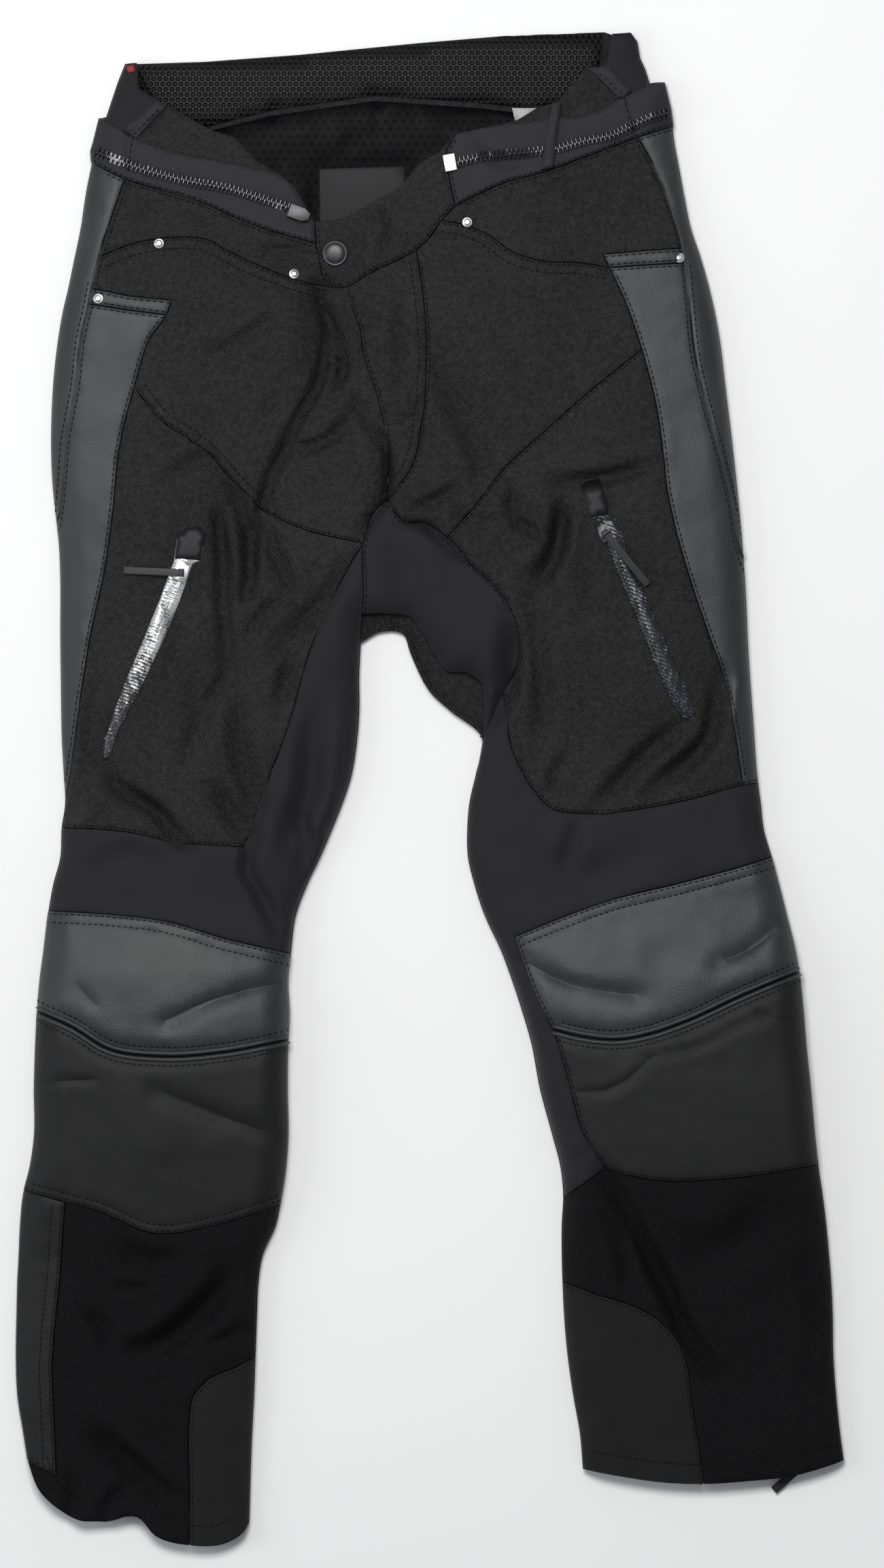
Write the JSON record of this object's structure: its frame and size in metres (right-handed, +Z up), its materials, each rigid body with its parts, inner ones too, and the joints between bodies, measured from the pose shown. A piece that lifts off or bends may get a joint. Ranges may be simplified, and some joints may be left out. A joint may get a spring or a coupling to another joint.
{
  "type": "motorcycle trousers",
  "caption": "Motorcycle trousers laid flat face up, with leather knees, stretch panels, a snapped waistband, thigh pocket zips and open hems.",
  "frame": {"origin": "middle of the garment's box in plan, on the floor that the back lies on", "axes": "+X towards the wearer's left leg, which is on the right in the view from above; +Y towards the waist; +Z up, out of the front"},
  "size_m": [0.591, 1.072, 0.0348],
  "materials": {
    "textile": "coarse matte twill",
    "stretch": "smooth matte stretch cloth",
    "leather": "fine grain, satin",
    "suede": "matte suede",
    "mesh": "spacer mesh and perforated lining",
    "webbing": "woven tape",
    "zip_plastic": "satin moulded teeth",
    "rubber": "matte moulded",
    "steel": "bright",
    "dark_metal": "dark satin"
  },
  "bodies": {
    "trousers": {"waistband_left": "textile", "yoke_left": "textile", "hip_left": "textile", "thigh_left": "textile", "shin_left": "textile", "waistband_right": "textile", "fly": "textile", "hip_right": "textile", "yoke_right": "textile", "waistband_side_right": "textile", "thigh_right": "textile", "shin_right": "textile", "back_waist": "textile", "back_seat_left": "textile", "back_seat_right": "textile", "back_calf_left": "textile", "back_calf_right": "textile", "elastic_left": "stretch", "elastic_right": "stretch", "gusset": "stretch", "stretch_left": "stretch", "stretch_right": "stretch", "side_strip_left": "leather", "side_strip_right": "leather", "pocket_band_left": "leather", "pocket_band_right": "leather", "side_leather_left": "leather", "side_leather_right": "leather", "knee_upper_left": "leather", "knee_upper_right": "leather", "knee_lower_left": "leather", "knee_lower_right": "leather", "zip_flap_left": "leather", "ankle_guard_left": "suede", "ankle_guard_right": "suede", "waist_facing": "mesh", "lining": "mesh", "zip_tape_left": "webbing", "zip_tape_right": "webbing", "belt_loop_left": "webbing", "belt_loop_right": "webbing", "zip_keeper_right": "webbing", "label": "webbing", "hem_tab": "webbing", "zip_teeth_left": "zip_plastic", "zip_teeth_right": "zip_plastic", "thigh_zip_right": "zip_plastic", "thigh_zip_left": "steel", "slider_left": "steel", "zip_end_box": "steel", "rivet_1": "steel", "rivet_2": "steel", "rivet_3": "steel", "rivet_4": "steel", "rivet_5": "steel", "snap_button": "dark_metal", "waist_zip_slider": "dark_metal", "slider_right": "dark_metal"},
    "pull_tab_left": {"pull_left": "rubber"},
    "pull_tab_right": {"pull_right": "rubber"}
  },
  "joints": [
    {"name": "pull_left_turn", "type": "hinge", "parent": "trousers", "child": "pull_tab_left", "pos_m": [-0.1753, 0.15199, 0.03192], "axis": [0.0494, 0.9988, 0], "range_deg": [0, 150]},
    {"name": "pull_right_turn", "type": "hinge", "parent": "trousers", "child": "pull_tab_right", "pos_m": [0.12403, 0.17997, 0.03202], "axis": [-0.7706, -0.6373, 0], "range_deg": [0, 150]}
  ]
}
